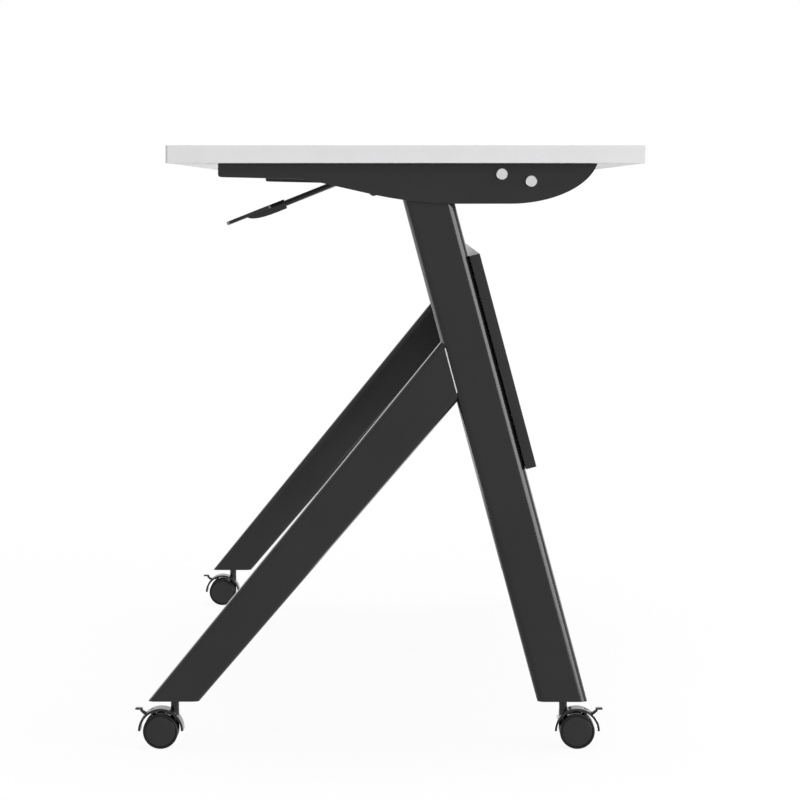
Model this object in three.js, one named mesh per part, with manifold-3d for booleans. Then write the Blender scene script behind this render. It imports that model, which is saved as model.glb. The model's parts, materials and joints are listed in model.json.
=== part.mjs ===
// Flip top training table: a laminate top that tips up about a pivot on two leaning leg frames on casters.
// Units are millimetres. X runs from the user's edge (-X) to the front edge (+X), Y along the table, Z up.
import * as THREE from 'three';
import Module from 'manifold-3d';
import { mergeVertices } from 'three/addons/utils/BufferGeometryUtils.js';

const wasm = await Module();
wasm.setup();

// General
const seatGap = 0.3;
const runningGap = 0.3;
const vertexTolerance = 1e-4;
const cutReach = 2000;
const cornerSegments = 3;
const roundSegments = 16;
const boreSegments = 12;
const smallPinSegments = 8;
const wheelSegments = 20;
const curveSteps = 7;
const hoodSteps = 12;
const carrierSteps = 12;
const degree = Math.PI / 180;

// Table top
const tableLength = 1600;
const tableDepth = 600;
const tableHeight = 765;
const topThickness = 22;
const topCornerRadius = 3;
const edgeBandThickness = 2;

// Casters
const wheelRadius = 22.3;
const wheelWidth = 12;
const wheelEdgeRadius = 1.4;
const wheelBoreDepth = 9.5;
const axleRadius = 3;
const casterTrail = 17.5;
const hoodWheelGap = 3.5;
const hoodWall = 3;
const hoodWidth = 29;
const hoodWebWidth = 12;
const wheelSideGap = 0.7;
const axleBossRadius = 8;
const stemRadius = 5.3;
const stemPinRadius = 4;
const stemPinLength = 21;
const stemBossWall = 1.2;
const stemBossDrop = 2.6;
const stemBossFoot = 2;
const stemUserOffset = 0.95;
const stemFrontOffset = 1.6;
const stemReveal = 9.4;
const stemGrip = 22;

// Web between the wheels, as distances from the axle
const webCrestX = 6;
const webCrestZ = 21;
const webBackX = -1.5;
const webShoulderX = 13;
const webShoulderZ = 17.5;
const webFrontX = 20;
const webFrontZ = 6;

// Caster brake
const brakePivotRadius = 17;
const brakePivotAngle = 72 * degree;
const brakeHubRadius = 2.6;
const brakePinRadius = 1.6;
const brakeArmWidth = 6;
const brakeArmRadius = 20.3;
const brakeArmDepth = 2.6;
const brakeForkGap = 1;
const brakeShoeGap = 2;
const brakeShoeFrom = 103 * degree;
const brakeShoeTo = 120 * degree;
const brakeShoeWidth = 20;
const brakeSlotFrom = 109 * degree;
const brakeSlotTo = 149 * degree;
const pedalNeckFrom = 131 * degree;
const pedalNeckTo = 138 * degree;
const pedalRootAngle = 130 * degree;
const pedalHoodGap = 1;
const pedalKneeOut = 26.4;
const pedalKneeUp = 23.8;
const pedalElbowOut = 26.8;
const pedalElbowUp = 26;
const pedalNeckWidth = 3;
const pedalReach = 5.7;
const pedalThickness = 2.2;
const pedalWidth = 10;

// Leg frames
const endOverhang = 60;
const columnDepth = 40;
const tubeWall = 2;
const columnCornerRadius = 11;
const columnWidth = 62;
const columnLean = 15 * degree;
const columnTopX = 25;
const columnTopDrop = 35;
const braceFootInset = 4;
const braceRise = 50.1 * degree;
const braceFootWidth = 49.7;
const braceHeadWidth = 64;
const braceDepth = 35;
const braceCornerRadius = 8;
const footPlugHeight = 24;
const seamStripThickness = 0.8;
const seamStripMargin = 7.8;
const seamStripShift = 0.3;

// Crossbeam and modesty panel
const beamWidth = 30;
const beamHeight = 50;
const beamCornerRadius = 6;
const beamDrop = 64;
const panelThickness = 13.7;
const panelHeight = 279;
const panelDrop = 93;

// Carriers under the top
const carrierSideGap = 3;
const carrierPlate = 3;
const carrierUserEnd = -236.5;
const carrierEndDepth = 17.4;
const carrierEndRadius = 4;
const carrierStepX = -142;
const carrierStepDepth = 19.5;
const carrierBellyDepth = 50.9;
const carrierBellyFrom = 61;
const carrierBellyTo = 130;
const carrierNoseLength = 112.4;
const carrierNoseRise = 12;
const carrierStepPull = 45;
const carrierStepFall = 2;
const carrierBellyPull = 90;

// Pivot, stop and bolts
const pivotX = 120.2;
const pivotDrop = 13.3;
const stopX = 157;
const stopDrop = 22.2;
const boltRadius = 5;
const boltHeadRadius = 7.2;
const boltHeadHeight = 4;
const boltHeadDome = 0.7;
const boltEndRadius = 7;
const boltEndHeight = 3;
const bushWall = 1.4;
const hubWall = 2.7;
const hubEndGap = 0.6;

// Hinge head on the column
const headWebThickness = 12;
const headCapThickness = 4;
const headSpigotLength = 36;
const headCrestX = -20;
const headStopEdge = 14.2;
const headStopTop = 14;
const headStopFoot = 36.4;
const restPadLength = 60;
const restPadThickness = 2.6;
const restPadFrom = -12;

// Latch and release lever
const catchX = -38;
const catchDrop = 30.5;
const catchPinRadius = 4;
const catchPinLength = 34;
const catchLobeWall = 3.2;
const shaftX = -69;
const shaftDrop = 16;
const shaftRadius = 6;
const shaftEndGap = 0.6;
const hookThickness = 6;
const hookSideGap = 2;
const hookHubWall = 3.2;
const hookNoseRadius = 6.3;
const hookNoseSetback = 3.3;
const hookThroatGap = 2;
const springTurns = 4;
const springWire = 1.2;
const springPitch = 1.75;
const springShaftGap = 0.4;
const springStepsPerTurn = 10;
const springSides = 4;
const leverInset = 90;
const leverSlope = 21.7 * degree;
const rodRadius = 3.8;
const rodLength = 93.4;
const rodTangRadius = 2;
const rodTangLength = 30;
const paddleLength = 79.2;
const paddleWidth = 44;
const paddleThickness = 4.5;
const paddleRise = 5.5;
const paddleCornerRadius = 12;
const paddleShoulder = 24;
const paddleBossLength = 52;
const paddleBossWidth = 15;
const paddleBossDepth = 6.7;
const paddleBossTipPull = 6;
const paddleBossTipDepth = 5.5;
const paddleBossRootPull = 30;
const paddleBossBelly = 7.3;

// Levels and planes that follow from the sizes above
const undersideZ = tableHeight - topThickness;
const legPlaneY = tableLength / 2 - endOverhang;
const hoodInnerRadius = wheelRadius + hoodWheelGap;
const hoodOuterRadius = hoodInnerRadius + hoodWall;
const hoodTopZ = wheelRadius + hoodOuterRadius;
const legBottomZ = hoodTopZ + stemReveal;
const pivotZ = undersideZ - pivotDrop;
const stopZ = undersideZ - stopDrop;
const catchZ = undersideZ - catchDrop;
const shaftZ = undersideZ - shaftDrop;
const columnTopZ = undersideZ - columnTopDrop;
const columnLength = (columnTopZ - legBottomZ) / Math.cos(columnLean);
const columnFootX = columnTopX + (columnTopZ - legBottomZ) * Math.tan(columnLean);
const braceFootX = braceFootInset - tableDepth / 2;
const braceLength =
  ((columnFootX - braceFootX) * Math.cos(columnLean) - columnWidth / 2) / Math.cos(braceRise - columnLean);
const braceGrowth = (braceHeadWidth - braceFootWidth) / braceLength;
const carrierInnerWidth = columnDepth + 2 * carrierSideGap;
const carrierWidth = carrierInnerWidth + 2 * carrierPlate;
const carrierTopZ = undersideZ - seatGap;
const flangeZ = carrierTopZ - carrierPlate;
const bushRadius = boltRadius + runningGap + bushWall;
const hubRadius = bushRadius + seatGap + hubWall;
const headCrestZ = Math.min(pivotZ + hubRadius, flangeZ - seatGap);
const stemUserX = braceFootX + stemUserOffset;
const stemFrontX = columnFootX + stemFrontOffset;

// Materials
function finish(color, roughness, metalness) {
  return new THREE.MeshStandardMaterial({ color, roughness, metalness });
}

const laminate = () => finish('#dedede', 0.45, 0);
const edging = () => finish('#dcdcdc', 0.5, 0);
const powderCoat = () => finish('#2c2c2d', 0.45, 0.2);
const blackBoard = () => finish('#232324', 0.5, 0);
const blackPlastic = () => finish('#29292a', 0.5, 0);
const treadPlastic = () => finish('#1f1f20', 0.6, 0);
const greyPlastic = () => finish('#cfcfcf', 0.5, 0);
const rubber = () => finish('#1a1a1a', 0.8, 0);
const brightSteel = () => finish('#d0d0d0', 0.35, 0.9);
const springSteel = () => finish('#8e9094', 0.35, 0.9);

// Turns a closed geometry into a solid that can be joined and cut.
function solid(geometry) {
  const bare = new THREE.BufferGeometry();
  bare.setAttribute('position', geometry.getAttribute('position'));
  bare.setIndex(geometry.index);
  const merged = mergeVertices(bare, vertexTolerance);
  const corners = merged.index.array;
  const triVerts = [];
  for (let i = 0; i < corners.length; i += 3) {
    const [a, b, c] = corners.subarray(i, i + 3);
    if (a !== b && b !== c && c !== a) triVerts.push(a, b, c);
  }
  const mesh = new wasm.Mesh({
    numProp: 3,
    vertProperties: merged.attributes.position.array,
    triVerts: new Uint32Array(triVerts),
  });
  return new wasm.Manifold(mesh);
}

function geometryOf(body) {
  const { vertProperties, triVerts } = body.getMesh();
  const geometry = new THREE.BufferGeometry();
  geometry.setAttribute('position', new THREE.BufferAttribute(vertProperties, 3));
  geometry.setIndex(new THREE.BufferAttribute(triVerts, 1));
  geometry.computeVertexNormals();
  return geometry;
}

const join = (bodies) => bodies.reduce((whole, body) => whole.add(body));
const cut = (body, tools) => tools.reduce((rest, tool) => rest.subtract(tool), body);

function node(name, body, material) {
  const mesh = new THREE.Mesh(geometryOf(body), material);
  mesh.name = name;
  return mesh;
}

// Basic solids
function block(x, y, z) {
  const geometry = new THREE.BoxGeometry(x[1] - x[0], y[1] - y[0], z[1] - z[0]);
  geometry.translate((x[0] + x[1]) / 2, (y[0] + y[1]) / 2, (z[0] + z[1]) / 2);
  return solid(geometry);
}

const centred = (width) => [-width / 2, width / 2];
const below = (z) => block(centred(cutReach), centred(cutReach), [z - cutReach, z]);

// A shape drawn out along Z.
function extrude(shape, depth, curveSegments = cornerSegments) {
  return new THREE.ExtrudeGeometry(shape, { depth, bevelEnabled: false, curveSegments });
}

// A shape drawn in the XZ plane, drawn out along Y.
function prismY(shape, y, curveSegments = cornerSegments) {
  const geometry = extrude(shape, y[1] - y[0], curveSegments);
  geometry.rotateX(Math.PI / 2);
  geometry.translate(0, y[1], 0);
  return solid(geometry);
}

function rodY(radius, x, z, y, segments = roundSegments) {
  const geometry = new THREE.CylinderGeometry(radius, radius, y[1] - y[0], segments);
  geometry.translate(x, (y[0] + y[1]) / 2, z);
  return solid(geometry);
}

function rodZ(radius, x, y, z, segments = roundSegments) {
  const geometry = new THREE.CylinderGeometry(radius, radius, z[1] - z[0], segments);
  geometry.rotateX(Math.PI / 2);
  geometry.translate(x, y, (z[0] + z[1]) / 2);
  return solid(geometry);
}

// A profile of [radius, height] points turned about the Y axis.
function revolve(profile, segments = roundSegments) {
  const points = profile.map(([radius, height]) => new THREE.Vector2(radius, height));
  return new THREE.LatheGeometry(points, segments);
}

function outline(points) {
  return new THREE.Shape(points.map(([x, z]) => new THREE.Vector2(x, z)));
}

const polar = (radius, angle) => [radius * Math.cos(angle), radius * Math.sin(angle)];

// The part of a ring between two radii and two angles, about a centre.
function ringSector([x, z], inner, outer, from, to) {
  const shape = new THREE.Shape();
  shape.absarc(x, z, outer, from, to, false);
  shape.absarc(x, z, inner, to, from, true);
  return shape;
}

function roundedRect(width, height, radius) {
  const x = width / 2;
  const y = height / 2;
  const shape = new THREE.Shape();
  shape.absarc(x - radius, y - radius, radius, 0, Math.PI / 2, false);
  shape.absarc(radius - x, y - radius, radius, Math.PI / 2, Math.PI, false);
  shape.absarc(radius - x, radius - y, radius, Math.PI, 1.5 * Math.PI, false);
  shape.absarc(x - radius, radius - y, radius, 1.5 * Math.PI, 2 * Math.PI, false);
  return shape;
}

// Places a geometry made upright, with its foot at the origin, on the line of the column or the brace.
function onColumn(geometry) {
  geometry.rotateY(-columnLean);
  geometry.translate(columnFootX, 0, legBottomZ);
  return solid(geometry);
}

function onBrace(geometry) {
  geometry.rotateY(Math.PI / 2 - braceRise);
  geometry.translate(braceFootX, 0, legBottomZ);
  return solid(geometry);
}

// A bar of rounded section along Z, whose width grows by a steady share of its height.
function bar(width, depth, radius, z, growth = 0) {
  const geometry = extrude(roundedRect(width, depth, radius), z[1] - z[0]);
  geometry.translate(0, 0, z[0]);
  const position = geometry.getAttribute('position');
  for (let i = 0; i < position.count; i += 1) {
    const x = position.getX(i);
    position.setX(i, x + (Math.sign(x) * growth * position.getZ(i)) / 2);
  }
  return geometry;
}

// The column's outside, grown all round, or shrunk where growth is negative.
function columnEnvelope(growth, z) {
  const width = columnWidth + 2 * growth;
  return onColumn(bar(width, columnDepth + 2 * growth, columnCornerRadius + growth, z));
}

// The brace's outside, shrunk all round.
function braceEnvelope(shrink, z) {
  const width = braceFootWidth - 2 * shrink;
  return onBrace(bar(width, braceDepth - 2 * shrink, braceCornerRadius - shrink, z, braceGrowth));
}

const footReach = [-braceFootWidth * 2, 0];
const columnRun = [footReach[0], columnLength];
const braceRun = [footReach[0], braceLength + columnWidth / 2 / Math.cos(braceRise - columnLean)];

// The part of the brace's end that is set back for the seam strip.
function seamWindow(margin) {
  const width = braceHeadWidth - 2 * margin;
  const height = braceHeadWidth + columnWidth;
  const geometry = new THREE.BoxGeometry(width, 2 * columnDepth, height);
  geometry.translate(seamStripShift, 0, braceLength);
  return onBrace(geometry);
}

function column() {
  const inner = columnEnvelope(-tubeWall, [columnRun[0] - tubeWall, columnRun[1] + tubeWall]);
  return cut(columnEnvelope(0, columnRun), [inner, below(legBottomZ)]);
}

function brace() {
  const inner = braceEnvelope(tubeWall, [braceRun[0] - tubeWall, braceRun[1] + tubeWall]);
  const stripRoom = columnEnvelope(seamStripThickness + 2 * seatGap, columnRun);
  return cut(braceEnvelope(0, braceRun), [
    inner,
    below(legBottomZ),
    columnEnvelope(seatGap, columnRun),
    stripRoom.intersect(seamWindow(seamStripMargin)),
  ]);
}

// The light strip that fills the seam between the end of the brace and the column.
function seamStrip() {
  const outside = columnEnvelope(seatGap + seamStripThickness, columnRun);
  const skin = outside.subtract(columnEnvelope(seatGap, columnRun));
  return skin.intersect(braceEnvelope(0, braceRun)).intersect(seamWindow(seamStripMargin + seatGap));
}

// A plastic plug in the foot of a tube, bored for the caster's stem.
function footPlug(core, stemX) {
  const bore = rodZ(stemRadius + seatGap, stemX, 0, [0, legBottomZ + stemGrip + seatGap], boreSegments);
  return cut(core, [below(legBottomZ), bore]);
}

function columnPlug() {
  const core = columnEnvelope(-tubeWall - seatGap, [footReach[0], footPlugHeight]);
  return footPlug(core, stemFrontX);
}

function bracePlug() {
  const core = braceEnvelope(tubeWall + seatGap, [footReach[0], footPlugHeight]);
  return footPlug(core, stemUserX);
}

// The cast head: a spigot in the column, a web, the pivot's hub, a lug for the catch pin and a stop edge.
function hingeHead() {
  const lobeRadius = catchPinRadius + seatGap + catchLobeWall;
  const web = new THREE.Shape();
  web.moveTo(headCrestX, headCrestZ);
  web.lineTo(pivotX, headCrestZ);
  web.lineTo(pivotX + hubRadius / 2, pivotZ);
  web.lineTo(pivotX, pivotZ - hubRadius / 2);
  web.lineTo(pivotX - headStopEdge, pivotZ - headStopTop);
  web.lineTo(pivotX - headStopEdge, pivotZ - headStopFoot);
  web.lineTo(columnTopX, pivotZ - headStopFoot);
  web.lineTo(columnTopX, catchZ - lobeRadius);
  web.lineTo(catchX, catchZ - lobeRadius);
  web.lineTo(catchX - lobeRadius, catchZ);
  const pad = [restPadFrom - seatGap, restPadFrom + restPadLength + seatGap];
  const recess = block(pad, centred(carrierWidth), [headCrestZ - restPadThickness - seatGap, undersideZ]);
  const lobe = rodY(lobeRadius, catchX, catchZ, centred(headWebThickness), boreSegments);
  const plate = prismY(web, centred(headWebThickness)).add(lobe);
  const tubeEnd = columnLength + seatGap;
  const cap = columnEnvelope(0, [tubeEnd, tubeEnd + headCapThickness]);
  const clearance = columnEnvelope(seatGap, [columnRun[0], tubeEnd]);
  const hub = rodY(hubRadius, pivotX, pivotZ, centred(carrierInnerWidth - 2 * hubEndGap));
  const spigotRun = [columnLength - headSpigotLength, tubeEnd + headCapThickness / 2];
  const spigot = columnEnvelope(-tubeWall - seatGap, spigotRun);
  const body = join([cut(join([plate, cap]), [clearance, recess]), hub, spigot]);
  return cut(body, [
    rodY(bushRadius + seatGap, pivotX, pivotZ, centred(carrierWidth)),
    rodY(catchPinRadius + seatGap, catchX, catchZ, centred(carrierWidth), boreSegments),
  ]);
}

const catchPin = () => rodY(catchPinRadius, catchX, catchZ, centred(catchPinLength), boreSegments);

function restPad() {
  return block([restPadFrom, restPadFrom + restPadLength], centred(headWebThickness), [
    headCrestZ - restPadThickness,
    headCrestZ,
  ]);
}

function pivotBush() {
  const inner = boltRadius + runningGap;
  const end = carrierInnerWidth / 2 - hubEndGap;
  const geometry = revolve([
    [inner, -end],
    [bushRadius, -end],
    [bushRadius, end],
    [inner, end],
    [inner, -end],
  ], boreSegments);
  geometry.translate(pivotX, 0, pivotZ);
  return solid(geometry);
}

// A bolt across the carrier with its domed head on the outer side.
function crossBolt(side, x, z) {
  const seat = carrierWidth / 2 + seatGap;
  const geometry = revolve([
    [0, -seat - boltEndHeight],
    [boltEndRadius, -seat - boltEndHeight],
    [boltEndRadius, -seat],
    [boltRadius, -seat],
    [boltRadius, seat],
    [boltHeadRadius, seat],
    [boltHeadRadius, seat + boltHeadHeight - boltHeadDome],
    [boltHeadRadius - boltHeadDome, seat + boltHeadHeight],
    [0, seat + boltHeadHeight],
  ]);
  if (side < 0) geometry.rotateX(Math.PI);
  geometry.translate(x, 0, z);
  return solid(geometry);
}

// The channel that carries the top: a flange under the board and two deep plates beside the column's head.
function carrier(side) {
  const stepZ = undersideZ - carrierStepDepth;
  const endZ = undersideZ - carrierEndDepth;
  const bellyZ = undersideZ - carrierBellyDepth;
  const noseZ = undersideZ + carrierNoseRise;
  const noseHeight = noseZ - bellyZ;
  const noseEnd = Math.asin((carrierTopZ - noseZ) / noseHeight);
  const plate = new THREE.Shape();
  plate.moveTo(carrierUserEnd, carrierTopZ);
  plate.lineTo(carrierUserEnd, endZ + carrierEndRadius);
  plate.quadraticCurveTo(carrierUserEnd, endZ, carrierUserEnd + carrierEndRadius, endZ);
  plate.lineTo(carrierStepX, stepZ);
  plate.bezierCurveTo(
    carrierStepX + carrierStepPull,
    stepZ - carrierStepFall,
    carrierBellyFrom - carrierBellyPull,
    bellyZ,
    carrierBellyFrom,
    bellyZ,
  );
  plate.lineTo(carrierBellyTo, bellyZ);
  plate.absellipse(carrierBellyTo, noseZ, carrierNoseLength, noseHeight, -Math.PI / 2, noseEnd, false);
  const outerFace = carrierWidth / 2;
  const innerFace = carrierInnerWidth / 2;
  const frontEnd = carrierBellyTo + carrierNoseLength * Math.cos(noseEnd);
  const channel = join([
    prismY(plate, [-outerFace, -innerFace], carrierSteps),
    prismY(plate, [innerFace, outerFace], carrierSteps),
    block([carrierUserEnd, frontEnd - carrierPlate], centred(carrierWidth), [flangeZ, carrierTopZ]),
  ]);
  const inward = -side * carrierWidth;
  const shaftHole = [Math.min(0, inward), Math.max(0, inward)];
  return cut(channel, [
    rodY(boltRadius + seatGap, pivotX, pivotZ, centred(2 * carrierWidth), boreSegments),
    rodY(boltRadius + seatGap, stopX, stopZ, centred(2 * carrierWidth), boreSegments),
    rodY(shaftRadius + runningGap, shaftX, shaftZ, shaftHole, boreSegments),
  ]);
}

// The latch hook: a hub on the release shaft and a nose under the catch pin.
const hookCentre = headWebThickness / 2 + hookSideGap + hookThickness / 2;
function latchHook(side) {
  const hubOuter = shaftRadius + runningGap + hookHubWall;
  const noseTop = catchZ - catchPinRadius - seatGap;
  const throatX = catchX - catchPinRadius - hookThroatGap;
  const arm = new THREE.Shape();
  arm.moveTo(shaftX, shaftZ + hubOuter * Math.SQRT1_2);
  arm.lineTo(throatX, catchZ + catchPinRadius);
  arm.lineTo(throatX, noseTop);
  arm.absarc(catchX - hookNoseSetback, noseTop, hookNoseRadius, 0, -Math.PI, true);
  arm.lineTo(shaftX - hubOuter * Math.SQRT1_2, shaftZ - hubOuter * Math.SQRT1_2);
  const middle = -side * hookCentre;
  const y = [middle - hookThickness / 2, middle + hookThickness / 2];
  const hub = rodY(hubOuter, shaftX, shaftZ, y);
  return prismY(arm, y, curveSteps).add(hub).subtract(rodY(shaftRadius + seatGap, shaftX, shaftZ, centred(carrierWidth)));
}

class Helix extends THREE.Curve {
  constructor(radius, pitch, turns) {
    super();
    Object.assign(this, { radius, pitch, turns });
  }

  getPoint(t, target = new THREE.Vector3()) {
    const angle = 2 * Math.PI * this.turns * t;
    const height = this.pitch * this.turns * (t - 0.5);
    return target.set(this.radius * Math.cos(angle), height, this.radius * Math.sin(angle));
  }
}

// The torsion spring wound on the shaft beside the hook.
function releaseSpring(side) {
  const path = new Helix(shaftRadius + springShaftGap + springWire / 2, springPitch, springTurns);
  const section = new THREE.Shape(
    Array.from({ length: springSides }, (_, i) => {
      const [x, y] = polar(springWire / 2, (2 * Math.PI * i) / springSides);
      return new THREE.Vector2(x, y);
    }),
  );
  const steps = springTurns * springStepsPerTurn;
  const geometry = new THREE.ExtrudeGeometry(section, { steps, bevelEnabled: false, extrudePath: path });
  const hookFace = hookCentre + hookThickness / 2;
  const middle = (hookFace + carrierInnerWidth / 2) / 2;
  geometry.translate(shaftX, -side * middle, shaftZ);
  return solid(geometry);
}

// The shaft that ties both hooks to the lever.
function releaseShaft() {
  const end = legPlaneY + carrierInnerWidth / 2 - shaftEndGap;
  return rodY(shaftRadius, shaftX, shaftZ, [-end, end], boreSegments);
}

// Places a piece made along -X from the shaft's centre on the slope of the lever.
function onLever(geometry) {
  geometry.rotateY(-leverSlope);
  geometry.translate(shaftX, leverInset - legPlaneY, shaftZ);
  return solid(geometry);
}

function leverRod() {
  const start = shaftRadius + seatGap;
  const geometry = revolve([
    [0, start],
    [rodRadius, start],
    [rodRadius, rodLength],
    [rodTangRadius, rodLength],
    [rodTangRadius, rodLength + rodTangLength],
    [0, rodLength + rodTangLength],
  ], boreSegments);
  geometry.rotateZ(Math.PI / 2);
  return onLever(geometry);
}

// The finger paddle: a flat plate with rounded corners and a socket boss under its root.
function paddle() {
  const root = rodLength + seatGap;
  const tip = root + paddleLength;
  const half = paddleWidth / 2;
  const bossHalf = paddleBossWidth / 2;
  const r = paddleCornerRadius;
  const bend = -root - paddleShoulder / 2;
  const shoulder = -root - paddleShoulder;
  const plan = new THREE.Shape();
  plan.moveTo(-root, -bossHalf);
  plan.lineTo(-root, bossHalf);
  plan.bezierCurveTo(bend, bossHalf, bend, half, shoulder, half);
  plan.lineTo(r - tip, half);
  plan.absarc(r - tip, half - r, r, Math.PI / 2, Math.PI, false);
  plan.absarc(r - tip, r - half, r, Math.PI, 1.5 * Math.PI, false);
  plan.lineTo(shoulder, -half);
  plan.bezierCurveTo(bend, -half, bend, -bossHalf, -root, -bossHalf);
  const plateTop = paddleRise;
  const plateFoot = plateTop - paddleThickness;
  const plate = extrude(plan, paddleThickness);
  plate.translate(0, 0, plateFoot);
  const boss = new THREE.Shape();
  boss.moveTo(-root, plateTop);
  boss.lineTo(-root - paddleBossLength, plateTop);
  boss.lineTo(-root - paddleBossLength, plateFoot);
  boss.bezierCurveTo(
    paddleBossTipPull - root - paddleBossLength,
    -paddleBossTipDepth,
    -root - paddleBossRootPull,
    -paddleBossBelly,
    -root,
    -paddleBossDepth,
  );
  const bossBody = extrude(boss, paddleBossWidth, curveSteps);
  bossBody.rotateX(Math.PI / 2);
  bossBody.translate(0, bossHalf, 0);
  const socketEnd = rodLength + rodTangLength + seatGap;
  const socketRadius = rodTangRadius + seatGap;
  const socket = new THREE.CylinderGeometry(socketRadius, socketRadius, socketEnd, boreSegments);
  socket.rotateZ(Math.PI / 2);
  socket.translate(-socketEnd / 2, 0, 0);
  return cut(join([onLever(plate), onLever(bossBody)]), [onLever(socket)]);
}

// Table top: a board inside a thin edge band.
function topOutline(inset) {
  return roundedRect(tableDepth - 2 * inset, tableLength - 2 * inset, topCornerRadius - inset);
}

function slab(shape) {
  const geometry = extrude(shape, topThickness);
  geometry.translate(0, 0, undersideZ);
  return solid(geometry);
}

const board = () => slab(topOutline(edgeBandThickness + seatGap));
const edgeBand = () => slab(topOutline(0)).subtract(slab(topOutline(edgeBandThickness)));

// Crossbeam and panel lie in the plane of the columns.
function crossbeam() {
  const end = legPlaneY - columnDepth / 2 - seatGap;
  const tube = (shrink, length) => {
    const section = roundedRect(beamWidth - 2 * shrink, beamHeight - 2 * shrink, beamCornerRadius - shrink);
    const geometry = extrude(section, 2 * length);
    geometry.rotateX(Math.PI / 2);
    geometry.translate(0, length, columnLength - beamDrop);
    return onColumn(geometry);
  };
  return tube(0, end).subtract(tube(tubeWall, end + tubeWall));
}

function modestyPanel() {
  const geometry = new THREE.BoxGeometry(panelThickness, 2 * legPlaneY + columnDepth, panelHeight);
  const height = columnLength - panelDrop - panelHeight / 2;
  geometry.translate(columnWidth / 2 + seatGap + panelThickness / 2, 0, height);
  return onColumn(geometry);
}

// Caster pieces, about the swivel axis at X = 0, with the wheels trailing towards -X.
const wheelCentre = [-casterTrail, wheelRadius];
const [wheelX, wheelZ] = wheelCentre;
const stemBossRadius = stemPinRadius + runningGap + stemBossWall;
const stemBossTop = hoodTopZ - stemBossDrop;
const stemPinFoot = stemBossTop - stemPinLength;
const fromAxle = (x, z) => [wheelX + x, wheelZ + z];
const aroundAxle = (radius, angle) => fromAxle(...polar(radius, angle));
const brakePivot = aroundAxle(brakePivotRadius, brakePivotAngle);
const shoeOuter = hoodInnerRadius - seatGap;
const shoeInner = wheelRadius + brakeShoeGap;

// The hood: an open shell over both wheels, held by the stem's boss and a web that stays behind the wheels.
function casterHood() {
  const shell = prismY(
    ringSector(wheelCentre, hoodInnerRadius, hoodOuterRadius, 0, Math.PI),
    centred(hoodWidth),
    hoodSteps,
  );
  const web = outline([
    fromAxle(-axleBossRadius, 0),
    fromAxle(webBackX, webCrestZ),
    fromAxle(webCrestX, webCrestZ),
    fromAxle(webShoulderX, webShoulderZ),
    fromAxle(webFrontX, webFrontZ),
    fromAxle(webFrontX, 0),
    fromAxle(0, -axleBossRadius),
  ]);
  const [pivotAtX, pivotAtZ] = brakePivot;
  const forkReach = brakeHubRadius + brakeForkGap;
  const slot = ringSector(
    wheelCentre,
    hoodInnerRadius - hoodWall,
    hoodOuterRadius + hoodWall,
    brakeSlotFrom,
    brakeSlotTo,
  );
  const body = join([
    shell,
    rodZ(stemBossRadius, 0, 0, [wheelZ + stemBossFoot, stemBossTop], boreSegments),
    prismY(web, centred(hoodWebWidth)),
    rodY(axleBossRadius, wheelX, wheelZ, centred(hoodWebWidth)),
  ]);
  const armGap = centred(brakeArmWidth + 2 * runningGap);
  return cut(body, [
    rodZ(stemPinRadius + runningGap, 0, 0, [stemPinFoot - runningGap, hoodTopZ], boreSegments),
    rodY(axleRadius + runningGap, wheelX, wheelZ, centred(2 * hoodWidth), boreSegments),
    prismY(slot, armGap),
    block([wheelX - axleBossRadius, pivotAtX + forkReach], armGap, [pivotAtZ - forkReach, wheelZ + wheelRadius]),
    rodY(brakePinRadius + runningGap, pivotAtX, pivotAtZ, centred(2 * hoodWebWidth), smallPinSegments),
  ]);
}

// The brake: a pivoted arm between the wheels, a shoe over their treads and a pedal outside the hood.
function brakePedal() {
  const elbow = fromAxle(-pedalElbowOut, pedalElbowUp);
  const elbowTop = fromAxle(pedalNeckWidth - pedalElbowOut, pedalElbowUp + pedalThickness);
  const toe = -pedalElbowOut - pedalReach;
  const tread = outline([
    elbow,
    elbowTop,
    fromAxle(toe, pedalElbowUp + pedalThickness),
    fromAxle(toe - pedalThickness / 4, pedalElbowUp + pedalThickness / 2),
    fromAxle(toe, pedalElbowUp),
  ]);
  const [pivotAtX, pivotAtZ] = brakePivot;
  const arm = outline([
    [pivotAtX + brakeHubRadius, pivotAtZ],
    [pivotAtX, pivotAtZ + brakeHubRadius],
    aroundAxle(brakeArmRadius, brakeShoeFrom),
    aroundAxle(shoeOuter, brakeSlotFrom),
    aroundAxle(hoodOuterRadius - seatGap, brakeShoeTo),
    aroundAxle(hoodOuterRadius + pedalHoodGap, pedalNeckFrom),
    fromAxle(pedalNeckWidth - pedalKneeOut, pedalKneeUp + pedalNeckWidth / 2),
    elbowTop,
    elbow,
    fromAxle(-pedalKneeOut, pedalKneeUp),
    aroundAxle(hoodOuterRadius + pedalHoodGap, pedalNeckTo),
    aroundAxle(hoodInnerRadius + seatGap, pedalRootAngle),
    aroundAxle(shoeInner, brakeShoeTo),
    aroundAxle(brakeArmRadius - brakeArmDepth, brakeShoeFrom),
    [pivotAtX, pivotAtZ - brakeHubRadius],
  ]);
  const shoe = ringSector(wheelCentre, shoeInner, shoeOuter, brakeShoeFrom, brakeShoeTo);
  return join([
    prismY(arm, centred(brakeArmWidth)),
    rodY(brakePinRadius, pivotAtX, pivotAtZ, centred(hoodWebWidth - 2 * runningGap), smallPinSegments),
    prismY(shoe, centred(brakeShoeWidth)),
    prismY(tread, centred(pedalWidth)),
  ]);
}

function casterStem() {
  const geometry = revolve([
    [0, stemPinFoot],
    [stemPinRadius, stemPinFoot],
    [stemPinRadius, stemBossTop + runningGap],
    [stemRadius, stemBossTop + runningGap],
    [stemRadius, legBottomZ + stemGrip],
    [0, legBottomZ + stemGrip],
  ], boreSegments);
  geometry.rotateX(Math.PI / 2);
  return solid(geometry);
}

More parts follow.
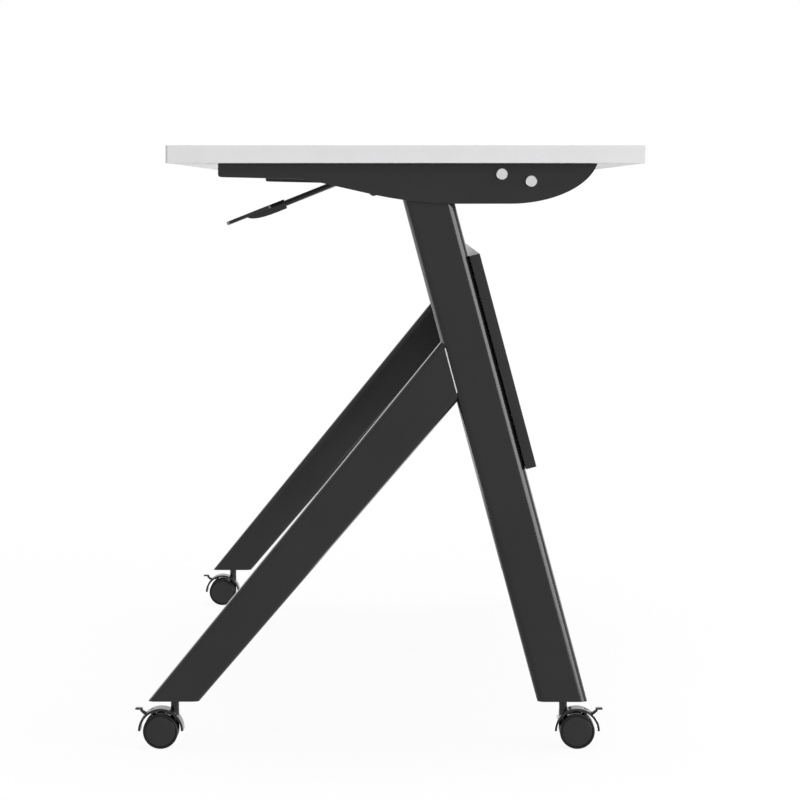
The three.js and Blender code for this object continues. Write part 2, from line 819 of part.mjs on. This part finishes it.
function casterAxle() {
  const end = hoodWebWidth / 2 + wheelSideGap + wheelBoreDepth - runningGap;
  return rodY(axleRadius, wheelX, wheelZ, [-end, end], boreSegments);
}

// A wheel with a rounded tread and a plain outer disc; the bore is blind.
function casterWheel(side) {
  const rim = wheelRadius - wheelEdgeRadius;
  const bore = axleRadius + runningGap;
  const geometry = revolve(
    [
      [0, wheelBoreDepth],
      [bore, wheelBoreDepth],
      [bore, 0],
      [rim, 0],
      [wheelRadius, wheelEdgeRadius],
      [wheelRadius, wheelWidth - wheelEdgeRadius],
      [rim, wheelWidth],
      [0, wheelWidth],
    ],
    wheelSegments,
  );
  geometry.translate(0, hoodWebWidth / 2 + wheelSideGap, 0);
  if (side < 0) geometry.rotateX(Math.PI);
  geometry.translate(wheelX, 0, wheelZ);
  return solid(geometry);
}

// A whole caster; outward is the side, -1 or 1 along its own Y axis, that faces the end of the table.
function caster(tag, outward) {
  const group = new THREE.Group();
  group.add(node(`caster_stem_${tag}`, casterStem(), powderCoat()));
  group.add(node(`caster_hood_${tag}`, casterHood(), blackPlastic()));
  group.add(node(`caster_axle_${tag}`, casterAxle(), brightSteel()));
  group.add(node(`caster_wheel_outer_${tag}`, casterWheel(outward), treadPlastic()));
  group.add(node(`caster_wheel_inner_${tag}`, casterWheel(-outward), treadPlastic()));
  group.add(node(`brake_pedal_${tag}`, brakePedal(), blackPlastic()));
  return group;
}

// One end of the table; side is -1 at the right end and 1 at the left end, as the user sits.
function legFrame(side) {
  const end = side < 0 ? 'right' : 'left';
  const group = new THREE.Group();
  group.position.y = side * legPlaneY;
  group.add(node(`column_${end}`, column(), powderCoat()));
  group.add(node(`brace_${end}`, brace(), powderCoat()));
  group.add(node(`seam_strip_${end}`, seamStrip(), greyPlastic()));
  group.add(node(`foot_plug_front_${end}`, columnPlug(), blackPlastic()));
  group.add(node(`foot_plug_user_${end}`, bracePlug(), blackPlastic()));
  group.add(node(`hinge_head_${end}`, hingeHead(), powderCoat()));
  group.add(node(`pivot_bush_${end}`, pivotBush(), greyPlastic()));
  group.add(node(`rest_pad_${end}`, restPad(), rubber()));
  group.add(node(`catch_pin_${end}`, catchPin(), brightSteel()));
  group.add(node(`carrier_${end}`, carrier(side), powderCoat()));
  group.add(node(`pivot_bolt_${end}`, crossBolt(side, pivotX, pivotZ), brightSteel()));
  group.add(node(`stop_bolt_${end}`, crossBolt(side, stopX, stopZ), brightSteel()));
  group.add(node(`latch_hook_${end}`, latchHook(side), powderCoat()));
  group.add(node(`release_spring_${end}`, releaseSpring(side), springSteel()));
  const userCaster = caster(`user_${end}`, side);
  userCaster.position.x = stemUserX;
  const frontCaster = caster(`front_${end}`, -side);
  frontCaster.position.x = stemFrontX;
  frontCaster.rotation.z = Math.PI;
  group.add(userCaster, frontCaster);
  return group;
}

// The origin lies on the floor under the middle of the whole table, pedals included.
const pedalTip = stemUserX + wheelX - pedalElbowOut - pedalReach - pedalThickness / 4;
const userReach = Math.min(-tableDepth / 2, pedalTip);

const table = new THREE.Group();
table.position.x = -(userReach + tableDepth / 2) / 2;
table.add(node('table_top', board(), laminate()));
table.add(node('edge_band', edgeBand(), edging()));
table.add(node('crossbeam', crossbeam(), powderCoat()));
table.add(node('modesty_panel', modestyPanel(), blackBoard()));
table.add(node('release_shaft', releaseShaft(), springSteel()));
table.add(node('lever_rod', leverRod(), powderCoat()));
table.add(node('lever_paddle', paddle(), blackPlastic()));
table.add(legFrame(-1), legFrame(1));

export default table;
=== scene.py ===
import json
import math

import bmesh
import bpy
from mathutils import Matrix, Vector


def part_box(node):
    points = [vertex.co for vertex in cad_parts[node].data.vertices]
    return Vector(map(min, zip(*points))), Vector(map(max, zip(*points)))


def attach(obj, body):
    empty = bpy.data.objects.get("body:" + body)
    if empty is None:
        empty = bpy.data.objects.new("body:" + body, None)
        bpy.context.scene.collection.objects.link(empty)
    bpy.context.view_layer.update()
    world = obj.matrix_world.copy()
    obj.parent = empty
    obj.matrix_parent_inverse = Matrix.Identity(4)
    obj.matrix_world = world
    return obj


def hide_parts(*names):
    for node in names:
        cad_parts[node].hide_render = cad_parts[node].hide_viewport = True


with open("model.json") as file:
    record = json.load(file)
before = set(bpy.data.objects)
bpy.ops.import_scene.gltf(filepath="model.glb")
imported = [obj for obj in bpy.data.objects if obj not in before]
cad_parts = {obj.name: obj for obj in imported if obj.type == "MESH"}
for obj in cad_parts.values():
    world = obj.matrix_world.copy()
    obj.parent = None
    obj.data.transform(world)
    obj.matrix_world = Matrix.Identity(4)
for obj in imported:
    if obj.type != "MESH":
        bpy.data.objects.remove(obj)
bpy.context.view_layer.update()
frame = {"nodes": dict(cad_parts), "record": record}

NODES = frame["nodes"]
ENDS = {"right": -1, "left": 1}
CASTERS = [f"{place}_{end}" for end in ENDS for place in ("user", "front")]
# Sizes of pieces are in millimetres and become metres with MM; the stage is in metres
MM = 0.001

for name in ("Cube", "Light", "Camera"):
    stray = bpy.data.objects.get(name)
    if stray:
        bpy.data.objects.remove(stray)


def centre(node):
    low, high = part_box(node)
    return (Vector(low) + Vector(high)) / 2


# Materials

COOL_TINT = 1.01
CLOUD_DETAIL = 4.0
GRAIN_DETAIL = 2.0
GRAIN_STRENGTH = 0.6
LEANING_UP = 0.6
FACING_UP = 0.8


def grey(value):
    return (value, value, value * COOL_TINT)


def new_material(name):
    mat = bpy.data.materials.new(name)
    mat.use_nodes = True
    tree = mat.node_tree
    return mat, tree, tree.nodes["Principled BSDF"]


def noise(tree, coords, feature_mm, detail):
    node = tree.nodes.new("ShaderNodeTexNoise")
    node.inputs["Scale"].default_value = 1 / (feature_mm * MM)
    node.inputs["Detail"].default_value = detail
    tree.links.new(coords, node.inputs["Vector"])
    return node.outputs["Fac"]


def spread(tree, fac, low, high, start=0.3, end=0.7):
    """Maps values from start to end onto low to high, and holds them there outside."""
    node = tree.nodes.new("ShaderNodeMapRange")
    node.inputs["From Min"].default_value = start
    node.inputs["From Max"].default_value = end
    node.inputs["To Min"].default_value = low
    node.inputs["To Max"].default_value = high
    tree.links.new(fac, node.inputs["Value"])
    return node.outputs["Result"]


def blend_colours(tree, fac, first, second):
    node = tree.nodes.new("ShaderNodeMix")
    node.data_type = "RGBA"
    node.inputs[6].default_value = (*first, 1)
    node.inputs[7].default_value = (*second, 1)
    tree.links.new(fac, node.inputs[0])
    return node.outputs[2]


def surface(name, greys, rough, cloud_mm, grain_mm, grain_depth_mm, metallic=0.0, specular=0.5):
    """Two close greys in slow clouds, and a fine grain that varies the roughness and stands in relief."""
    mat, tree, shader = new_material(name)
    coords = tree.nodes.new("ShaderNodeTexCoord").outputs["Object"]
    clouds = noise(tree, coords, cloud_mm, CLOUD_DETAIL)
    grain = noise(tree, coords, grain_mm, GRAIN_DETAIL)
    dark, light = (grey(value) for value in greys)
    colour = blend_colours(tree, spread(tree, clouds, 0, 1), dark, light)
    tree.links.new(colour, shader.inputs["Base Color"])
    tree.links.new(spread(tree, grain, *rough), shader.inputs["Roughness"])
    bump = tree.nodes.new("ShaderNodeBump")
    bump.inputs["Strength"].default_value = GRAIN_STRENGTH
    bump.inputs["Distance"].default_value = grain_depth_mm * MM
    tree.links.new(grain, bump.inputs["Height"])
    tree.links.new(bump.outputs["Normal"], shader.inputs["Normal"])
    shader.inputs["Metallic"].default_value = metallic
    shader.inputs["Specular IOR Level"].default_value = specular
    return mat


def smooth_upper_edge(mat, rough):
    """Gives faces that look up a roughness of their own, as on the band along a board's upper edge."""
    tree = mat.node_tree
    socket = tree.nodes["Principled BSDF"].inputs["Roughness"]
    split = tree.nodes.new("ShaderNodeSeparateXYZ")
    tree.links.new(tree.nodes.new("ShaderNodeTexCoord").outputs["Normal"], split.inputs[0])
    mix = tree.nodes.new("ShaderNodeMix")
    tree.links.new(spread(tree, split.outputs["Z"], 0, 1, LEANING_UP, FACING_UP), mix.inputs[0])
    tree.links.new(socket.links[0].from_socket, mix.inputs[2])
    mix.inputs[3].default_value = rough
    tree.links.new(mix.outputs[0], socket)


BOARD = surface("panel_board", (0.008, 0.012), (0.42, 0.52), 80, 0.6, 0.003, specular=0.3)
smooth_upper_edge(BOARD, 0.145)

SLOT_MATERIALS = {
    "laminate": surface("laminate", (0.71, 0.74), (0.38, 0.5), 90, 0.7, 0.012),
    "edging": surface("edging", (0.725, 0.755), (0.42, 0.52), 60, 0.9, 0.01),
    "panel_board": BOARD,
    "coated_steel": surface("powder_coat", (0.014, 0.018), (0.14, 0.2), 120, 1.1, 0.006, specular=0.28),
    "black_plastic": surface("black_plastic", (0.006, 0.009), (0.16, 0.24), 30, 0.5, 0.004, specular=0.38),
    "tread_plastic": surface("tread_plastic", (0.004, 0.006), (0.36, 0.46), 20, 0.4, 0.008, specular=0.2),
    "light_plastic": surface("light_plastic", (0.74, 0.78), (0.4, 0.5), 20, 0.5, 0.01),
    "rubber": surface("rubber", (0.008, 0.012), (0.7, 0.85), 15, 0.4, 0.03, specular=0.3),
    "bright_steel": surface("bright_steel", (0.60, 0.65), (0.1, 0.18), 4, 0.25, 0.001, metallic=1.0),
    "plated_steel": surface("plated_steel", (0.30, 0.38), (0.3, 0.45), 12, 0.5, 0.01, metallic=1.0),
}


# Shading of the CAD nodes

SMOOTH_UNDER_DEG = 42
BEVEL_OVER_DEG = 50
FLAT_UNDER_DEG = 1
WELD_MM = 0.002
BEVEL_MM = {
    "table_top": 0.4,
    "edge_band": 0.6,
    "modesty_panel": 0.8,
    "lever_paddle": 0.5,
    "carrier": 0.4,
    "column": 0.5,
    "brace": 0.5,
    "hinge_head": 0.6,
    "latch_hook": 0.5,
    "caster_hood": 0.8,
    "brake_pedal": 0.4,
    "rest_pad": 0.4,
}


def smooth_by_angle(limit_deg):
    group = bpy.data.node_groups.new("smooth_by_angle", "GeometryNodeTree")
    for way in ("INPUT", "OUTPUT"):
        group.interface.new_socket("Geometry", in_out=way, socket_type="NodeSocketGeometry")
    start = group.nodes.new("NodeGroupInput")
    end = group.nodes.new("NodeGroupOutput")
    bare = group.nodes.new("GeometryNodeRemoveAttribute")
    bare.inputs["Name"].default_value = "custom_normal"
    faces = group.nodes.new("GeometryNodeSetShadeSmooth")
    faces.domain = "FACE"
    edges = group.nodes.new("GeometryNodeSetShadeSmooth")
    edges.domain = "EDGE"
    angle = group.nodes.new("GeometryNodeInputMeshEdgeAngle")
    under = group.nodes.new("FunctionNodeCompare")
    under.operation = "LESS_THAN"
    under.inputs["B"].default_value = math.radians(limit_deg)
    links = group.links
    links.new(start.outputs[0], bare.inputs["Geometry"])
    links.new(bare.outputs["Geometry"], faces.inputs["Geometry"])
    links.new(faces.outputs["Geometry"], edges.inputs["Geometry"])
    links.new(angle.outputs["Unsigned Angle"], under.inputs["A"])
    links.new(under.outputs["Result"], edges.inputs["Shade Smooth"])
    links.new(edges.outputs["Geometry"], end.inputs[0])
    return group


SMOOTH = smooth_by_angle(SMOOTH_UNDER_DEG)


def finish_node(name, obj):
    weld = obj.modifiers.new("weld", "WELD")
    weld.merge_threshold = WELD_MM * MM
    width = next((w for key, w in BEVEL_MM.items() if name.startswith(key)), 0)
    if width:
        flat = obj.modifiers.new("dissolve", "DECIMATE")
        flat.decimate_type = "DISSOLVE"
        flat.angle_limit = math.radians(FLAT_UNDER_DEG)
        bevel = obj.modifiers.new("bevel", "BEVEL")
        bevel.width = width * MM
        bevel.segments = 2
        bevel.limit_method = "ANGLE"
        bevel.angle_limit = math.radians(BEVEL_OVER_DEG)
        bevel.use_clamp_overlap = True
    obj.modifiers.new("smooth", "NODES").node_group = SMOOTH
    normals = obj.modifiers.new("normals", "WEIGHTED_NORMAL")
    normals.keep_sharp = True


for part in frame["record"]["subparts"]:
    obj = NODES[part["node"]]
    obj.data.materials.clear()
    obj.data.materials.append(SLOT_MATERIALS[part["material_slot"]])
    finish_node(part["node"], obj)


# New pieces

def piece(name, verts, faces, body, slot):
    mesh = bpy.data.meshes.new(name)
    mesh.from_pydata([tuple(v) for v in verts], [], faces)
    mesh.validate()
    work = bmesh.new()
    work.from_mesh(mesh)
    bmesh.ops.recalc_face_normals(work, faces=work.faces)
    work.to_mesh(mesh)
    work.free()
    for face in mesh.polygons:
        face.use_smooth = True
    obj = bpy.data.objects.new(name, mesh)
    bpy.context.collection.objects.link(obj)
    mesh.materials.append(SLOT_MATERIALS[slot])
    obj.modifiers.new("smooth", "NODES").node_group = SMOOTH
    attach(obj, body)
    return obj


def turned(profile, axis, at, segments):
    """Vertices and faces of a profile of (radius, height) points in millimetres, turned about an axis."""
    turn = Vector((0, 0, 1)).rotation_difference(Vector(axis)).to_matrix()
    verts, faces, rings = [], [], []
    for radius, height in profile:
        if radius == 0:
            rings.append([len(verts)])
            verts.append(at + turn @ Vector((0, 0, height)) * MM)
            continue
        rings.append(list(range(len(verts), len(verts) + segments)))
        for i in range(segments):
            angle = 2 * math.pi * i / segments
            spot = Vector((radius * math.cos(angle), radius * math.sin(angle), height))
            verts.append(at + turn @ spot * MM)
    for lower, upper in zip(rings, rings[1:]):
        for i in range(segments):
            j = (i + 1) % segments
            quad = [lower[k % len(lower)] for k in (i, j)] + [upper[k % len(upper)] for k in (j, i)]
            corners = list(dict.fromkeys(quad))
            if len(corners) > 2:
                faces.append(corners)
    return verts, faces


def swept(path, radius_mm, sides, closed=False):
    """Vertices and faces of a round bar along a path of points in metres."""
    verts, faces = [], []
    count = len(path)
    # Any direction that no path sets out along
    up = Vector((0.31, 0.27, 0.91))
    for i, point in enumerate(path):
        ahead = path[(i + 1) % count] if closed or i + 1 < count else point
        behind = path[i - 1] if closed or i else point
        along = (ahead - behind).normalized()
        across = along.cross(up).normalized()
        up = across.cross(along).normalized()
        for k in range(sides):
            angle = 2 * math.pi * k / sides
            verts.append(point + (across * math.cos(angle) + up * math.sin(angle)) * radius_mm * MM)
    for i in range(count if closed else count - 1):
        j = (i + 1) % count
        for k in range(sides):
            n = (k + 1) % sides
            faces.append([i * sides + k, i * sides + n, j * sides + n, j * sides + k])
    if not closed:
        faces.append(list(range(sides)))
        faces.append(list(range((count - 1) * sides, count * sides)))
    return verts, faces


# Caster wheels: a tread with rounded shoulders and a domed cover disc let into it

WHEEL_R = 22.3
WHEEL_W = 12.0
SHOULDER_R = 1.6
BORE_R = 3.3
BORE_DEPTH = 9.5
DISC_R = 18.9
DISC_SEAT = 10.6
DISC_EDGE_R = 0.6
DISC_EDGE_DROP = 0.7
DISC_DOME_DROP = 0.03
DISC_GAP = 0.3
LIP_R = 0.4


def arc(radius, centre_r, centre_h, start_deg, end_deg, steps=4):
    angles = [math.radians(start_deg + (end_deg - start_deg) * i / steps) for i in range(steps + 1)]
    return [(centre_r + radius * math.cos(a), centre_h + radius * math.sin(a)) for a in angles]


def tread_profile():
    recess = DISC_R + DISC_GAP
    points = [(0, BORE_DEPTH), (BORE_R, BORE_DEPTH), (BORE_R, 0)]
    points += arc(SHOULDER_R, WHEEL_R - SHOULDER_R, SHOULDER_R, -90, 0)
    points += arc(SHOULDER_R, WHEEL_R - SHOULDER_R, WHEEL_W - SHOULDER_R, 0, 90)
    points += arc(LIP_R, recess + LIP_R, WHEEL_W - LIP_R, 90, 180, 3)
    points += [(recess, DISC_SEAT), (0, DISC_SEAT)]
    return points


def disc_profile():
    points = [(0, DISC_SEAT), (DISC_R, DISC_SEAT)]
    points += arc(DISC_EDGE_R, DISC_R - DISC_EDGE_R, WHEEL_W - DISC_EDGE_DROP, 0, 80)
    points += [(DISC_R * 0.6, WHEEL_W - DISC_DOME_DROP), (DISC_R * 0.3, WHEEL_W), (0, WHEEL_W)]
    return points


def caster_wheel(which, tag, out):
    node = f"caster_wheel_{which}_{tag}"
    body = f"wheel_{which}_{tag}"
    low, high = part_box(node)
    middle = centre(node)
    inner_face = low[1] if out > 0 else high[1]
    at = Vector((middle.x, inner_face, middle.z))
    axis = (0, out, 0)
    tread = piece(f"tread_{which}_{tag}", *turned(tread_profile(), axis, at, 72), body, "tread_plastic")
    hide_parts(node)
    piece(f"disc_{which}_{tag}", *turned(disc_profile(), axis, at, 64), body, "black_plastic")


for tag in CASTERS:
    side = ENDS[tag.split("_")[1]]
    caster_wheel("outer", tag, side)
    caster_wheel("inner", tag, -side)


# Release works: round wire springs with straight tails, and the lever's collar on the shaft

SPRING_WIRE_R = 0.6
SPRING_COIL_R = 7.0
SPRING_TURNS = 4
SPRING_TAIL = (10, 8, 6)
SPRING_TAIL_SLOPE = 0.1
COLLAR_BORE_R = 6.2
COLLAR_R = 9.5
COLLAR_HALF = 8
COLLAR_CHAMFER = 0.5
SHAFT = centre("release_shaft")


def helix(at, radius, start, end, turns, per_turn=28):
    count = int(turns * per_turn)
    path = []
    for i in range(count + 1):
        angle = 2 * math.pi * i / per_turn
        y = start + (end - start) * i / count
        path.append(Vector((at.x + radius * math.sin(angle), y, at.z - radius * math.cos(angle))))
    return path


def release_spring(end):
    node = f"release_spring_{end}"
    low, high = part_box(node)
    wire = SPRING_WIRE_R * MM
    coil = helix(SHAFT, SPRING_COIL_R * MM, low[1] + wire, high[1] - wire, SPRING_TURNS)
    tail = []
    for reach in SPRING_TAIL:
        rise = SPRING_TAIL_SLOPE * (reach - SPRING_TAIL[-1])
        tail.append(coil[0] + Vector((-reach, 0, rise)) * MM)
    spring = piece(f"spring_{end}", *swept(tail + coil, SPRING_WIRE_R, 10), "release", "plated_steel")
    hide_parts(node)


def lever_collar():
    rim = COLLAR_R - COLLAR_CHAMFER
    land = COLLAR_HALF - COLLAR_CHAMFER
    profile = [(COLLAR_BORE_R, -COLLAR_HALF), (rim, -COLLAR_HALF), (COLLAR_R, -land), (COLLAR_R, land)]
    profile += [(rim, COLLAR_HALF), (COLLAR_BORE_R, COLLAR_HALF), (COLLAR_BORE_R, -COLLAR_HALF)]
    at = Vector((SHAFT.x, centre("lever_rod").y, SHAFT.z))
    piece("lever_collar", *turned(profile, (0, 1, 0), at, 40), "release", "coated_steel")


for end in ENDS:
    release_spring(end)
lever_collar()


# Screws: pan heads that hold the carriers to the top, flush heads that hold the panel to the columns

PAN_HEAD = [(0, 0), (4.6, 0), (4.6, 1.2), (4.2, 2.2), (3.4, 2.8), (2.3, 3.1)]
PAN_HEAD += [(1.6, 3.1), (1.2, 1.6), (0, 1.4)]
FLUSH_HEAD = [(0, -0.6), (5.6, -0.6), (5.6, 0.1), (5.3, 0.3), (2.6, 0.4)]
FLUSH_HEAD += [(2.3, 0.3), (2.1, -0.3), (0, -0.4)]
FLANGE_THICKNESS = 3
FLANGE_SCREW_X = (-190, -110, 222)
PANEL_SCREW_RISE = (-95, 0, 95)
PANEL_SCREW_Y = 740


def screw(name, profile, axis, at, body):
    piece(name, *turned(profile, axis, at, 28), body, "plated_steel")


def panel_front():
    """Centre of the panel's front face and the face's outward direction."""
    mesh = NODES["modesty_panel"].data
    world = NODES["modesty_panel"].matrix_world
    face = max(mesh.polygons, key=lambda f: f.area if f.normal.x > 0.7 else 0)
    out = (world.to_3x3() @ face.normal).normalized()
    middle = centre("modesty_panel")
    return middle + out * (world @ face.center - middle).dot(out), out


def flange_screws():
    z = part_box("carrier_right")[1][2] - FLANGE_THICKNESS * MM
    for end in ENDS:
        y = centre(f"carrier_{end}").y
        for i, x in enumerate(FLANGE_SCREW_X):
            screw(f"flange_screw_{end}_{i}", PAN_HEAD, (0, 0, -1), Vector((x * MM, y, z)), "top")


def panel_screws():
    middle, out = panel_front()
    up = out.cross(Vector((0, -1, 0))).normalized()
    for end, side in ENDS.items():
        for i, rise in enumerate(PANEL_SCREW_RISE):
            at = Vector((middle.x, side * PANEL_SCREW_Y * MM, middle.z)) + up * rise * MM
            screw(f"panel_screw_{end}_{i}", FLUSH_HEAD, out, at, "leg_frame")


flange_screws()
panel_screws()


# Weld beads round the ends of the crossbeam

BEAD_R = 1.7
BEAD_HALF_X = 15.4
BEAD_HALF_Z = 25.4
BEAD_CORNER_R = 6.4
BEAD_INSET = 0.6
BEAM_LEAN_DEG = -15


def bead_path(middle):
    turn = Matrix.Rotation(math.radians(BEAM_LEAN_DEG), 3, "Y")
    path = []
    for quarter, (sx, sz) in enumerate(((1, 1), (-1, 1), (-1, -1), (1, -1))):
        for step in range(7):
            angle = math.radians(90 * quarter + 15 * step)
            x = sx * (BEAD_HALF_X - BEAD_CORNER_R) + BEAD_CORNER_R * math.cos(angle)
            z = sz * (BEAD_HALF_Z - BEAD_CORNER_R) + BEAD_CORNER_R * math.sin(angle)
            path.append(middle + turn @ Vector((x, 0, z)) * MM)
    return path


def beam_weld(end, side):
    beam = centre("crossbeam")
    beam_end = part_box("crossbeam")[1][1]
    middle = Vector((beam.x, side * (beam_end - BEAD_INSET * MM), beam.z))
    bead = swept(bead_path(middle), BEAD_R, 8, closed=True)
    piece(f"beam_weld_{end}", *bead, "leg_frame", "coated_steel")


for end, side in ENDS.items():
    beam_weld(end, side)


# Grip ribs on the brake pedals

PEDAL_REACH = 30
RIB_COUNT = 3
RIB_FIRST = 2.0
RIB_PITCH = 2.2
RIB_HALF = 4.2
RIB_R = 0.45
RIB_SINK = 0.15


def pedal_ribs(tag):
    low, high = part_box(f"brake_pedal_{tag}")
    middle = centre(f"caster_wheel_outer_{tag}")
    toe_is_low = low[0] < middle.x - PEDAL_REACH * MM
    toe, inward = (low[0], 1) if toe_is_low else (high[0], -1)
    y = (low[1] + high[1]) / 2
    z = high[2] - RIB_SINK * MM
    for i in range(RIB_COUNT):
        x = toe + inward * (RIB_FIRST + RIB_PITCH * i) * MM
        path = [Vector((x, y + RIB_HALF * MM * t, z)) for t in (-1, 0, 1)]
        piece(f"pedal_rib_{tag}_{i}", *swept(path, RIB_R, 8), f"brake_{tag}", "black_plastic")


for tag in CASTERS:
    pedal_ribs(tag)


# Camera, floor and light

CAMERA_AT = (0.0149, -4.944, 0.7044)
CAMERA_DOWN_DEG = 3.55
LENS_MM = 149.4
SENSOR_MM = 36
AMBIENT = 0.3
FLOOR_REACH = 60
FLOOR_TO_LIGHT = grey(0.35)
FLOOR_SEEN = grey(0.92)
FLOOR_GLOW = 0.93
FLOOR_NEAR = 1.0
FLOOR_FAR = 2.4


def look_camera():
    data = bpy.data.cameras.new("camera")
    data.sensor_width = SENSOR_MM
    data.lens = LENS_MM
    data.clip_end = 100
    obj = bpy.data.objects.new("camera", data)
    bpy.context.collection.objects.link(obj)
    obj.location = CAMERA_AT
    obj.rotation_euler = (math.radians(90 - CAMERA_DOWN_DEG), 0, 0)
    bpy.context.scene.camera = obj


def larger(tree, first, second):
    node = tree.nodes.new("ShaderNodeMath")
    node.operation = "MAXIMUM"
    tree.links.new(first, node.inputs[0])
    tree.links.new(second, node.inputs[1])
    return node.outputs[0]


def seen_directly(tree):
    """1 for rays from the camera, in a mirror or through glass, else 0."""
    path = tree.nodes.new("ShaderNodeLightPath").outputs
    mirrored = larger(tree, path["Is Glossy Ray"], path["Is Transmission Ray"])
    return larger(tree, path["Is Camera Ray"], mirrored)


def stage_floor():
    """White where it is seen, with a faint shadow near the table; light grey paint to the light."""
    mesh = bpy.data.meshes.new("floor")
    corners = [(x * FLOOR_REACH, y * FLOOR_REACH, 0) for x, y in ((-1, -1), (1, -1), (1, 1), (-1, 1))]
    mesh.from_pydata(corners, [], [(0, 1, 2, 3)])
    floor = bpy.data.objects.new("floor", mesh)
    bpy.context.collection.objects.link(floor)
    mat, tree, shader = new_material("floor")
    seen = seen_directly(tree)
    tree.links.new(blend_colours(tree, seen, FLOOR_TO_LIGHT, FLOOR_SEEN), shader.inputs["Base Color"])
    shader.inputs["Roughness"].default_value = 0.9
    shader.inputs["Specular IOR Level"].default_value = 0
    away = tree.nodes.new("ShaderNodeVectorMath")
    away.operation = "LENGTH"
    tree.links.new(tree.nodes.new("ShaderNodeTexCoord").outputs["Object"], away.inputs[0])
    share = tree.nodes.new("ShaderNodeMath")
    share.operation = "MULTIPLY"
    tree.links.new(seen, share.inputs[0])
    tree.links.new(spread(tree, away.outputs["Value"], FLOOR_GLOW, 1, FLOOR_NEAR, FLOOR_FAR), share.inputs[1])
    glow = tree.nodes.new("ShaderNodeEmission")
    mixer = tree.nodes.new("ShaderNodeMixShader")
    tree.links.new(share.outputs[0], mixer.inputs[0])
    tree.links.new(shader.outputs[0], mixer.inputs[1])
    tree.links.new(glow.outputs[0], mixer.inputs[2])
    tree.links.new(mixer.outputs[0], tree.nodes["Material Output"].inputs["Surface"])
    mesh.materials.append(mat)


def light_world():
    world = bpy.data.worlds.new("world")
    bpy.context.scene.world = world
    world.use_nodes = True
    tree = world.node_tree
    background = tree.nodes["Background"]
    background.inputs["Color"].default_value = (1, 1, 1, 1)
    tree.links.new(spread(tree, seen_directly(tree), AMBIENT, 1, 0, 1), background.inputs["Strength"])


def aim(name, data, at, target):
    obj = bpy.data.objects.new(name, data)
    bpy.context.collection.objects.link(obj)
    obj.location = at
    obj.rotation_euler = (Vector(target) - Vector(at)).to_track_quat("-Z", "Y").to_euler()
    obj.visible_camera = False


def area_lamp(name, at, target, width, height, power):
    data = bpy.data.lights.new(name, "AREA")
    data.shape = "RECTANGLE"
    data.size = width
    data.size_y = height
    data.energy = power
    aim(name, data, at, target)


def sun_lamp(name, at, strength, spread_deg):
    data = bpy.data.lights.new(name, "SUN")
    data.energy = strength
    data.angle = math.radians(spread_deg)
    aim(name, data, at, (0, 0, 0))


look_camera()
stage_floor()
light_world()
sun_lamp("sky", (0.3, 0.6, 3.0), 1.6, 40)
area_lamp("key", (7.19, -6.18, 1.9), (0.05, -0.76, 0.6), 8.4, 3.2, 780)
area_lamp("front", (-0.8, -4.0, 4.2), (0.0, -0.8, 0.75), 2.4, 1.2, 38)
area_lamp("rim", (2.2, 1.6, 0.75), (0.2, -0.76, 0.4), 2.0, 0.9, 10)
# These two lie on the floor and face up, for the pale lines along the tubes' round corners
area_lamp("under", (0.31, -0.25, 0.004), (0.31, -0.25, 1.0), 0.38, 0.9, 3)
area_lamp("low", (-1.57, -0.1, 0.004), (-1.57, -0.1, 1.0), 1.8, 1.4, 20)

view = bpy.context.scene.view_settings
view.view_transform = "Standard"
